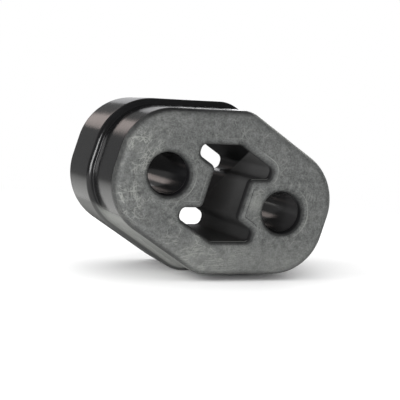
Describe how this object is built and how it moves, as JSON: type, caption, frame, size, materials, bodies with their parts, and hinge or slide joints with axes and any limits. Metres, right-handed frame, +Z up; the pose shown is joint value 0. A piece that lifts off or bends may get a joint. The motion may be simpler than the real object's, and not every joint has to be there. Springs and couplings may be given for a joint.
{
  "type": "exhaust hanger rubber",
  "caption": "Moulded rubber block that hangs an exhaust: two through bores for the hanger rods, an H-shaped slot between them and a stepped outline.",
  "frame": {"origin": "middle of the block's bounding box at its base, where it lies on one long flat", "axes": "+Y along the bores from the front face to the back face, +X along the lying length, +Z up; the line between the bores falls 16.4 degrees towards +X"},
  "size_m": [0.0722, 0.0412, 0.0514],
  "materials": {
    "rubber": "matt"
  },
  "bodies": {
    "root": {"hanger_block": "rubber"}
  },
  "joints": []
}
